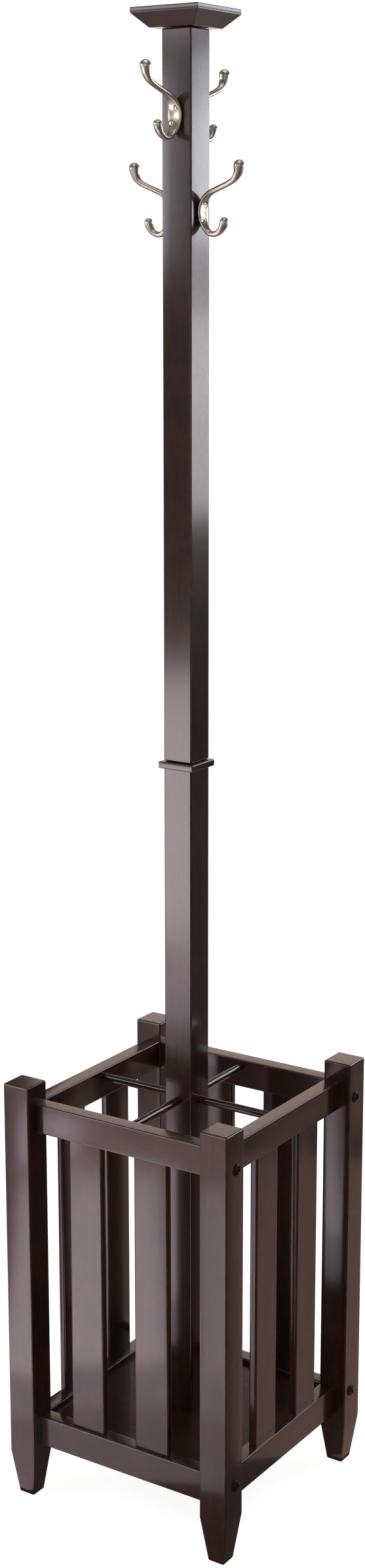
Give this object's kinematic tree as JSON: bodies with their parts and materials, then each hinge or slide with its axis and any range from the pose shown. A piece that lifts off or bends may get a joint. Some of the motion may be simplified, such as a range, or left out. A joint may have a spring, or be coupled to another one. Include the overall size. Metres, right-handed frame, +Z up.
{
  "type": "umbrella stand with coat pole",
  "caption": "Square slatted wooden umbrella stand with tapered legs, dividing rods and a tall central pole with a cap and double coat hooks.",
  "frame": {"origin": "on the floor at the centre of the square base", "axes": "+Z up along the pole, +X right, -Y front; the camera side of the object is the corner between front and right"},
  "size_m": [0.3206, 0.314, 1.75],
  "materials": {
    "espresso_wood": "dark espresso stain under satin lacquer, fine straight grain",
    "hidden_wood": "stained beech dowel, plain",
    "satin_nickel": "cast zinc alloy plated in satin nickel",
    "black_steel": "black oxide, semi-gloss",
    "zinc_steel": "zinc plated, satin"
  },
  "bodies": {
    "root": {"bottom_rail_front": "espresso_wood", "bottom_rail_left": "espresso_wood", "bottom_rail_rear": "espresso_wood", "bottom_rail_right": "espresso_wood", "cap": "espresso_wood", "cap_dowel": "hidden_wood", "divider_rod_front": "espresso_wood", "divider_rod_left": "espresso_wood", "divider_rod_rear": "espresso_wood", "divider_rod_right": "espresso_wood", "floor_panel": "espresso_wood", "frame_bolt_front_left_lower": "black_steel", "frame_bolt_front_left_upper": "black_steel", "frame_bolt_front_right_lower": "black_steel", "frame_bolt_front_right_upper": "black_steel", "frame_bolt_rear_left_lower": "black_steel", "frame_bolt_rear_left_upper": "black_steel", "frame_bolt_rear_right_lower": "black_steel", "frame_bolt_rear_right_upper": "black_steel", "frame_insert_front_left_lower": "zinc_steel", "frame_insert_front_left_upper": "zinc_steel", "frame_insert_front_right_lower": "zinc_steel", "frame_insert_front_right_upper": "zinc_steel", "frame_insert_rear_left_lower": "zinc_steel", "frame_insert_rear_left_upper": "zinc_steel", "frame_insert_rear_right_lower": "zinc_steel", "frame_insert_rear_right_upper": "zinc_steel", "hook_front": "satin_nickel", "hook_left": "satin_nickel", "hook_rear": "satin_nickel", "hook_right": "satin_nickel", "hook_screw_front_lower": "satin_nickel", "hook_screw_front_upper": "satin_nickel", "hook_screw_left_lower": "satin_nickel", "hook_screw_left_upper": "satin_nickel", "hook_screw_rear_lower": "satin_nickel", "hook_screw_rear_upper": "satin_nickel", "hook_screw_right_lower": "satin_nickel", "hook_screw_right_upper": "satin_nickel", "leg_front_left": "espresso_wood", "leg_front_right": "espresso_wood", "leg_rear_left": "espresso_wood", "leg_rear_right": "espresso_wood", "lower_pole": "espresso_wood", "pole_base_screw": "zinc_steel", "pole_collar": "espresso_wood", "pole_stud": "zinc_steel", "slat_front_1": "espresso_wood", "slat_front_2": "espresso_wood", "slat_left_1": "espresso_wood", "slat_left_2": "espresso_wood", "slat_rear_1": "espresso_wood", "slat_rear_2": "espresso_wood", "slat_right_1": "espresso_wood", "slat_right_2": "espresso_wood", "top_rail_front": "espresso_wood", "top_rail_left": "espresso_wood", "top_rail_rear": "espresso_wood", "top_rail_right": "espresso_wood", "upper_pole": "espresso_wood"}
  },
  "joints": []
}
